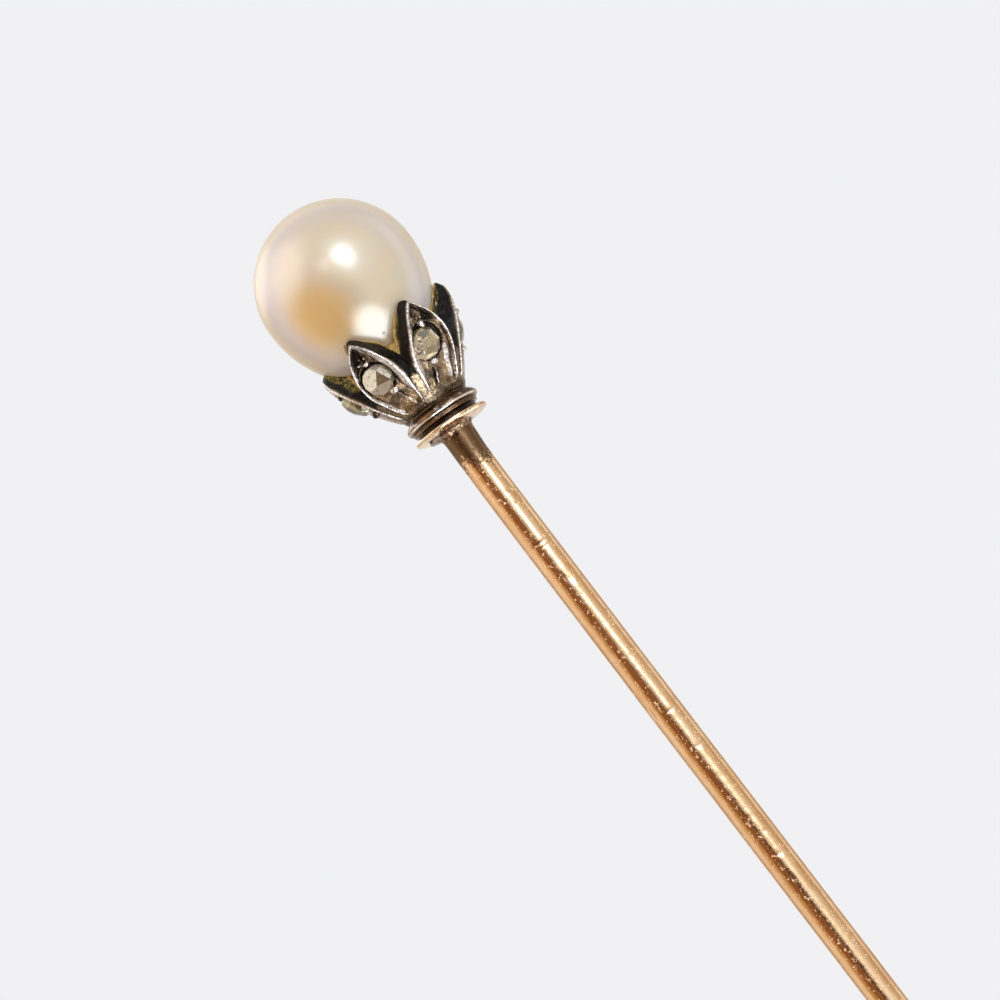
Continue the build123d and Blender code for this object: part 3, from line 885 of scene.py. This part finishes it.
def build_stones():
    """The six stones, each turned and tipped its own way in its petal's seat."""
    slope = bell_normal(GEM_POINT[1])
    for petal in PETAL:
        index = petal.index
        if index == THREE_SIDED_STONE:
            facets, spin, lean, axis = THREE_SIDED, 0, 13, "Y"
        else:
            facets, spin, lean, axis = stone_facets(index), 53 * index + 20, 4 * math.sin(index * 2.0), "X"
        verts, faces = cut_stone(stone_outline(index), 0.50, facets)
        a = petal.azimuth + petal.stone[0] / GEM_POINT[0]
        out = Vector(polar(slope[0], a, slope[1]))
        side = Vector(polar(1, a + math.pi / 2, 0))
        up = out.cross(side)
        turn = Matrix.Rotation(math.radians(lean), 3, axis) @ Matrix.Rotation(math.radians(spin), 3, "Z")
        axes = Matrix((side, up, out)).transposed() @ turn
        origin = polar(GEM_POINT[0], a, GEM_POINT[1] + BASE)
        origin = origin - np.array(out) * petal.stone_depth + np.array(up) * petal.stone[1]
        tone = painted_facet_light_levels(verts, faces, petal)
        verts = verts @ np.array(axes).T + origin
        node = f"diamond_{index + 1}"
        obj = make(node + "_rose_cut", verts, faces, petal.finish, node, flat=True, shift=CALYX_SHIFT)
        layer = obj.data.attributes.new("tone", "FLOAT", "FACE")
        layer.data.foreach_set("value", np.asarray(tone, np.float32))


def painted_facet_light_levels(verts, faces, petal):
    """Painted light and shade for each facet: a lighter or darker colour by the way it faces, standing in for
    what an old closed-back stone sends back.
    """
    tones = []
    for face in faces:
        p = verts[list(face)]
        n = sum((np.cross(p[i], p[(i + 1) % len(p)]) for i in range(len(p))), np.zeros(3))
        area = np.linalg.norm(n) / 2
        n = n / (np.linalg.norm(n) + 1e-12)
        n = n * (1 if n[2] >= 0 else -1)
        turn = math.atan2(n[1], n[0])
        if area < WORN_EDGE:
            tones.append(0.55)
        # Painted light on the three-sided stone: a dark table, the brightest facet at the upper left, a light
        # one at the right and the rest a little less.
        elif petal.index == THREE_SIDED_STONE:
            table = n[2] > 0.97
            upper_left = math.cos(turn - math.radians(135)) > 0.9 and n[2] > 0.7
            right = math.cos(turn - math.radians(11)) > 0.9
            tones.append(0.25 if table else 1.0 if upper_left else 0.9 if right else 0.75)
        else:
            level = 0.5 + 0.5 * math.sin(turn * 3 + n[2] * 9 + petal.index * 1.7)
            tones.append(petal.tone * level)
    return tones


build_stones()


# ---------------------------------------------------------------- pearl and cement


def build_pearl():
    """The pearl, a little uneven, with a mark for the painted orange reflection on one flank."""
    rows, columns = 148, 200
    angle = np.linspace(0, math.pi, rows + 2)[1:-1, None]
    ring = np.linspace(0, 2 * math.pi, columns, endpoint=False)
    half = np.where(np.cos(angle) > 0, PEARL_TOP - PEARL_MID, PEARL_DROP)
    points = polar(PEARL_R * np.sin(angle), ring, PEARL_MID + half * np.cos(angle)).reshape(-1, 3)
    points = np.concatenate([points, [[0, 0, PEARL_TOP], [0, 0, PEARL_MID - PEARL_DROP]]])
    outward = points - np.array([0, 0, PEARL_MID])
    outward /= np.linalg.norm(outward, axis=1)[:, None]
    points = points + outward * layered(points, ((0.012, 3.2, 2), (0.004, 1.1, 6)))
    faces = grid_faces(rows, columns, closed=True)
    top, last = rows * columns, (rows - 1) * columns
    faces += [(top, (j + 1) % columns, j) for j in range(columns)]
    faces += [(top + 1, last + j, last + (j + 1) % columns) for j in range(columns)]
    # Mark for the painted orange reflection: strongest where the surface faces forward, a little to the left
    # and down.
    painted_orange_reflection = np.exp(-((1 - outward @ np.array(direction(-28, -20))) / 0.105) ** 1.2)
    make("pearl_body", points, faces, "pearl", "pearl", {"painted_orange_reflection": painted_orange_reflection})


build_pearl()


def grainy_tube(h, r, angle, across, out, seed):
    """A grainy bead along a line, with its half-widths across the line and out from the pin's axis."""
    turn = np.linspace(0, 2 * math.pi, 8, endpoint=False)
    h, r, angle, across, out = (v[:, None] for v in (h, r, angle, across, out))
    tube = polar(r + out * np.sin(turn), angle + across * np.cos(turn) / r, h + BASE).reshape(-1, 3)
    tube = tube + outwards(tube) * layered(tube, ((0.035, 0.11, seed), (0.02, 0.05, 4)))
    return tube, tube_faces(len(h), len(turn))


def build_cement():
    """The ring of cement in the notches and the grainy fillets that run up each petal's inner edges."""
    profile = [(1.30, 3.06), (2.24, 3.22), (2.29, NOTCH), (2.25, 3.50), (2.09, 3.76), (1.96, 3.93),
               (1.80, 3.90), (1.50, 3.60)]  # fmt: skip
    ring = rounded(profile, 0.06) + np.array([0, BASE])
    verts, faces = revolve(ring, 260, ((0.03, 0.16, 1), (0.02, 0.07, 8)))
    for petal in PETAL:
        for side in (-1, 1):
            h, r, angle = petal.sill(side)
            wide = 0.085 + 0.04 * np.sin(h * 5 + petal.index * 2 + side)
            wide = wide * (1 - 0.55 * smooth(h, 4.3, 4.9))
            tube, quads = grainy_tube(h, r, angle, side * wide, wide * 0.9, petal.index + 2)
            faces += [tuple(v + len(verts) for v in quad) for quad in quads]
            verts = np.concatenate([verts, tube])
    make("pearl_setting_cement", verts, faces, "cement", "pearl_cement", shift=0.5 * CALYX_SHIFT)


build_cement()


# ---------------------------------------------------------------- collar, disc, solder and stem

FORWARD_LEAN = 2.3


def turned(edge, step, inner, columns, layers):
    """A turned part: a smooth outer edge, closed by straight lines through the inner points."""
    profile = np.concatenate([curve_through(edge, step), inner]) + np.array([0, BASE])
    return revolve(profile, columns, layers)


def tilted(points, degrees, height):
    """Turned parts sit slightly askew on the stem: a small lean to the right, and one towards the front."""
    forward = Matrix.Rotation(math.radians(FORWARD_LEAN), 3, "X")
    lean = Matrix.Rotation(math.radians(degrees), 3, "Y") @ forward
    centre = np.array([0, 0, height])
    return (points - centre) @ np.array(lean).T + centre


def build_collar():
    """The collar, with polish on its turned edge and painted shade in its grooves."""
    edge = [
        (1.36, 0.16), (1.36, 0.30), (1.41, 0.37), (1.49, 0.40), (1.50, 0.425), (1.49, 0.45), (1.525, 0.475),
        (1.545, 0.50), (1.54, 0.525), (1.56, 0.555), (1.60, 0.58), (1.65, 0.605), (1.672, 0.64),
        (1.676, 0.69), (1.67, 0.75), (1.64, 0.81), (1.58, 0.88), (1.50, 0.95), (1.43, 1.02), (1.41, 1.06),
    ]  # fmt: skip
    inner = rounded([(1.0, 1.07), (0.5, 1.07), (0.5, 0.16), (1.0, 0.16)], 0.2)
    verts, faces = turned(edge, 0.016, inner, 220, ((0.010, 0.5, 3), (0.006, 0.14, 7)))
    h = verts[:, 2] - BASE
    polish = band(h, 0.595, 0.615, 0.665, 0.70) * (0.85 + 0.5 * rough(verts, 0.35, 5))
    worn = 0.5 * smooth(rough(verts, 0.30, 9), 0.1, 0.5) * band(h, 0.70, 0.76, 0.90, 0.96)
    # Painted shade mark: the groove down by the disc and the hollow band just under the turned edge.
    wall = np.maximum(1 - smooth(h, 0.385, 0.405), 0.8 * band(h, 0.505, 0.52, 0.585, 0.60))
    marks = {"rim": np.maximum(polish, worn), "wall": wall}
    verts = tilted(verts, 2.5, BASE + 0.6)
    make("collar_turned", verts, faces, "collar", "collar", marks, shift=HEAD_SHIFT)


def build_disc():
    """The gold disc, with speckled painted shade over its underside."""
    edge = [
        (0.60, -0.12), (0.95, -0.11), (1.25, -0.085), (1.47, -0.05), (1.585, -0.015), (1.65, 0.030),
        (1.675, 0.080), (1.668, 0.115), (1.63, 0.145), (1.56, 0.165), (1.45, 0.170),
    ]  # fmt: skip
    inner = [(1.0, 0.170), (0.6, 0.170), (0.55, 0.16), (0.55, 0.0)]
    verts, faces = turned(edge, 0.02, inner, 220, ((0.007, 0.55, 4), (0.003, 0.16, 2)))
    verts = tilted(verts, 3.6, BASE + 0.15)
    # Painted shade: a speckled mark over the disc's underside, darkened in the gold's material.
    dirt_and_painted_shade = (0.50 + 0.35 * rough(verts, 0.35, 2)) * (1 - smooth(verts[:, 2] - BASE, -0.05, 0.03))
    make("disc_turned", verts, faces, "disc_gold", "stem_disc", {"dirt_and_painted_shade": dirt_and_painted_shade}, shift=HEAD_SHIFT)


def build_solder():
    """The lumpy fillet of solder between the stem and the disc."""
    edge = [
        (0.66, -0.66), (0.685, -0.54), (0.705, -0.42), (0.735, -0.32), (0.79, -0.23), (0.88, -0.165),
        (1.02, -0.12), (1.20, -0.095),
    ]  # fmt: skip
    inner = [(1.15, -0.04), (0.64, -0.04), (0.62, -0.3), (0.62, -0.6)]
    verts, faces = turned(edge, 0.02, inner, 160, ((0.034, 0.30, 3), (0.020, 0.12, 7)))
    make("solder_fillet", verts, faces, "solder", "stem_solder", shift=HEAD_SHIFT)


# Dents in the wire: height above the disc's underside, direction from the front gap in degrees, half-length
# along the wire, half-width round it, depth.
DENTS = (
    (-3.55, 32, 0.10, 0.12, 0.035), (-3.95, 40, 0.16, 0.10, 0.03), (-4.15, 24, 0.06, 0.10, 0.02),
    (-6.05, 5, 0.05, 0.32, 0.03), (-6.25, 12, 0.04, 0.26, 0.02), (-7.75, -5, 0.20, 0.06, 0.022),
    (-7.95, 12, 0.16, 0.05, 0.02), (-9.9, -18, 0.10, 0.08, 0.02), (-14.3, -58, 0.30, 0.10, 0.04),
    (-14.6, 10, 0.05, 0.22, 0.02), (-16.4, 20, 0.08, 0.16, 0.02), (-19.9, -10, 0.07, 0.14, 0.022),
    (-20.7, 30, 0.06, 0.18, 0.02), (-21.8, 8, 0.10, 0.08, 0.02), (-22.9, -4, 0.22, 0.05, 0.025),
    (-31.0, 70, 0.10, 0.20, 0.02), (-38.0, 200, 0.25, 0.10, 0.03), (-52.0, 120, 0.10, 0.20, 0.025),
    (-66.0, -100, 0.20, 0.08, 0.02), (-80.0, 30, 0.10, 0.20, 0.02),
)  # fmt: skip


# The wire's bend: height above the disc's underside, and how far its axis lies to the right there.
BOW = (
    (-109, 0.0), (-70, -0.16), (-45, -0.14), (-28, -0.08), (-16, -0.045), (-10, -0.015), (-5, 0.01),
    (-2.6, 0.035), (-1.3, 0.065), (-0.6, 0.10), (0.0, HEAD_SHIFT),
)  # fmt: skip
SHOWN_END = -27.0  # above this the wire is close to the head and has a finer mesh
TAPER = 15.0  # the length of the point
TAPER_MESH = 16.0
TIP_R = 0.05


def build_stem():
    """The wire: slightly bowed, bent just under the head, dented here and there, with a blunt point."""
    z = np.concatenate([
        np.linspace(BASE + 0.02, SHOWN_END, 520, endpoint=False),
        np.linspace(SHOWN_END, STEM_TIP + TAPER_MESH, 150, endpoint=False),
        STEM_TIP + TAPER_MESH * (1 - np.linspace(0, 1, 90)) ** 1.3,
    ])  # fmt: skip
    r = TIP_R + (SHANK_R - TIP_R) * np.sin(np.clip((z - STEM_TIP) / TAPER, 0, 1) * math.pi / 2) ** 0.9
    blunt = np.clip((z - STEM_TIP) / TIP_R, 0, 1)
    r = r * np.sqrt(blunt * (2 - blunt)) + 0.03 * smooth(z, -1.0, 0.5)
    columns = 72
    along, radius = np.repeat(z, columns), np.repeat(r, columns)
    angle = np.tile(np.linspace(0, 2 * math.pi, columns, endpoint=False), len(z))
    points = polar(radius, angle, along)
    uneven = 0.004 * rough(points * np.array([1, 1, 0.25]), 0.6, 5) + 0.003 * rough(points, 0.3, 3)
    radius = radius + smooth(along, STEM_TIP + 1.0, STEM_TIP + 6.0) * uneven
    for h, turn, tall, wide, deep in DENTS:
        around = wrapped(angle + math.pi / 2 - math.radians(turn))
        off = ((along - BASE - h) / tall) ** 2 + (around * SHANK_R / wide) ** 2
        radius = radius - deep * np.exp(-off)
    points = polar(radius, angle, along)
    points[:, 0] += np.interp(along - BASE, *np.transpose(BOW))
    # Painted reflection: a dark line down the front of the wire, stronger towards the point, with the gold's
    # dirt specks along it.
    painted_front_reflection = np.exp(-((wrapped(angle + math.pi / 2 + 0.06) / 0.13) ** 2))
    painted_front_reflection = painted_front_reflection * (0.35 + 0.65 * smooth(-along, 8, 26))
    # Darker towards the top of the wire, just under the disc.
    darkening_mask = smooth(along + 0.7 * rough(points * np.array([1, 1, 0.4]), 0.5, 8), -2.3, -0.3)
    dirt_and_painted_shade = np.maximum(painted_front_reflection, 1.45 * darkening_mask)
    make("stem_wire", points, tube_faces(len(z), columns), "stem_gold", "pin_stem", {"dirt_and_painted_shade": dirt_and_painted_shade})


build_collar()
build_disc()
build_solder()
build_stem()

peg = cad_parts["pearl_peg"]
peg.data.materials.clear()
peg.data.materials.append(FINISHES["disc_gold"][1])


# ---------------------------------------------------------------- floor, light and camera


def build_floor():
    """A plain pale floor just under the point. Only the camera sees it, so it doesn't tint the metal."""
    mesh = bpy.data.meshes.new("floor")
    side = 3.0
    z = (STEM_TIP - 0.1) * MM
    corners = [(-side, -side, z), (side, -side, z), (side, side, z), (-side, side, z)]
    mesh.from_pydata(corners, [], [(0, 1, 2, 3)])
    floor = bpy.data.objects.new("floor", mesh)
    bpy.context.scene.collection.objects.link(floor)
    glow = {"Emission_Color": (0.135, 0.157, 0.195, 1), "Emission_Strength": 1.0}
    paper = Nodes("pale_floor").finish(Base_Color=(0.86, 0.86, 0.87, 1), Roughness=0.8, **glow)
    mesh.materials.append(paper)
    floor.visible_glossy = False
    floor.visible_diffuse = False
    floor.visible_transmission = False


# The studio's surround at about the height of the pin, going round it: azimuth and colour. White paper behind
# and at the sides, with a warm dark gap before the pin and another behind it.
SURROUND = (
    (-180, (0.90, 0.86, 0.82)), (-160, (0.82, 0.78, 0.74)), (-144, (0.50, 0.42, 0.35)),
    (-124, (0.62, 0.54, 0.46)), (-112, (0.90, 0.86, 0.82)), (-96, (0.92, 0.86, 0.80)),
    (-78, (0.86, 0.77, 0.64)), (-66, (0.50, 0.33, 0.16)), (-52, (0.54, 0.33, 0.15)),
    (-46, (0.28, 0.14, 0.055)), (-34, (0.24, 0.115, 0.045)), (-24, (0.32, 0.16, 0.08)),
    (-10, (0.18, 0.09, 0.045)), (6, (0.18, 0.12, 0.07)), (13, (0.24, 0.19, 0.14)),
    (18, (0.70, 0.65, 0.58)), (38, (0.78, 0.75, 0.68)), (66, (0.70, 0.65, 0.55)),
    (90, (0.48, 0.41, 0.31)), (99, (1.0, 1.0, 1.02)), (114, (1.0, 1.0, 1.02)),
    (122, (0.60, 0.52, 0.45)), (144, (0.50, 0.42, 0.35)), (160, (0.82, 0.78, 0.74)),
    (180, (0.90, 0.86, 0.82)),
)  # fmt: skip
OVERHEAD = (0.34, 0.29, 0.24)
BELOW = (0.50, 0.42, 0.34)

# Soft lamps: azimuth, elevation, inner angle, outer angle, colour.
LAMPS = (
    (26, 19, 10, 36, (0.95, 1.03, 1.14)),
    (26, 19, 5, 14, (9.5, 10.2, 11.4)),
    (-3, 22, 2, 11, (1.9, 1.9, 1.9)),
    (0, -58, 14, 30, (5.4, 6.0, 6.9)),
    (-72, 46, 4, 44, (1.7, 1.55, 1.45)),
    (-140, 35, 10, 22, (2.5, 2.5, 2.5)),
    (150, -50, 12, 26, (2.0, 2.0, 1.95)),
)


def build_world():
    """The studio as the pin sees it. The camera sees a plain pale backdrop instead."""
    world = bpy.data.worlds.new("studio")
    bpy.context.scene.world = world
    world.use_nodes = True
    t = Tree(world.node_tree)
    place = t.node("TexCoord").outputs["Generated"]
    x, y, z = t.node("SeparateXYZ", {0: place}).outputs
    azimuth = t.math("ARCTAN2", x, t.math("MULTIPLY", y, -1.0))
    ramp = t.node("ValToRGB", {0: t.math("MULTIPLY_ADD", azimuth, 0.5 / math.pi, 0.5)})
    stops = ramp.color_ramp.elements
    for k, (angle, paint) in enumerate(SURROUND):
        spot = angle / 360 + 0.5
        stop = stops[k] if k < 2 else stops.new(spot)
        stop.position = spot
        stop.color = (*paint, 1)
    colour = ramp.outputs[0]
    for start, full, paint in ((18, 52, OVERHEAD), (-50, -66, BELOW)):
        height = t.remap(z, math.sin(math.radians(start)), math.sin(math.radians(full)))
        colour = t.mix(height, colour, paint)
    for angle, height, inner, outer, paint in LAMPS:
        towards = t.node("VectorMath", {0: place, 1: direction(angle, height)}, operation="DOT_PRODUCT")
        edge, core = math.cos(math.radians(outer)), math.cos(math.radians(inner))
        colour = t.blend(towards.outputs["Value"], edge, core, colour, paint)
    light = t.node("Background", {"Color": colour}).outputs[0]
    backdrop = t.node("Background", {"Color": (0.880, 0.880, 0.896, 1)}).outputs[0]
    seen = t.node("LightPath").outputs["Is Camera Ray"]
    t.node("OutputWorld", {"Surface": t.node("MixShader", {"Fac": seen, 1: light, 2: backdrop}).outputs[0]})


def build_camera():
    """A long lens a little below the head, turned so that the pin runs across the picture."""
    azimuth, elevation, roll, distance = -2.3, -8.9, -37.56, 224.4
    back = direction(azimuth, elevation)
    right = Vector((math.cos(math.radians(azimuth)), math.sin(math.radians(azimuth)), 0))
    target = Vector((0, 0, BASE - 3.56)) - right * 0.18
    data = bpy.data.cameras.new("camera")
    data.lens = 200
    data.sensor_width = 36
    data.clip_start = 0.005
    data.clip_end = 10
    camera = bpy.data.objects.new("camera", data)
    bpy.context.scene.collection.objects.link(camera)
    turn = (-back).to_track_quat("-Z", "Y").to_matrix() @ Matrix.Rotation(math.radians(roll), 3, "Z")
    camera.matrix_world = Matrix.Translation((target + back * distance) * MM) @ turn.to_4x4()
    bpy.context.scene.camera = camera


build_floor()
build_world()
build_camera()
bpy.context.scene.view_settings.view_transform = "Standard"

bpy.context.view_layer.update()
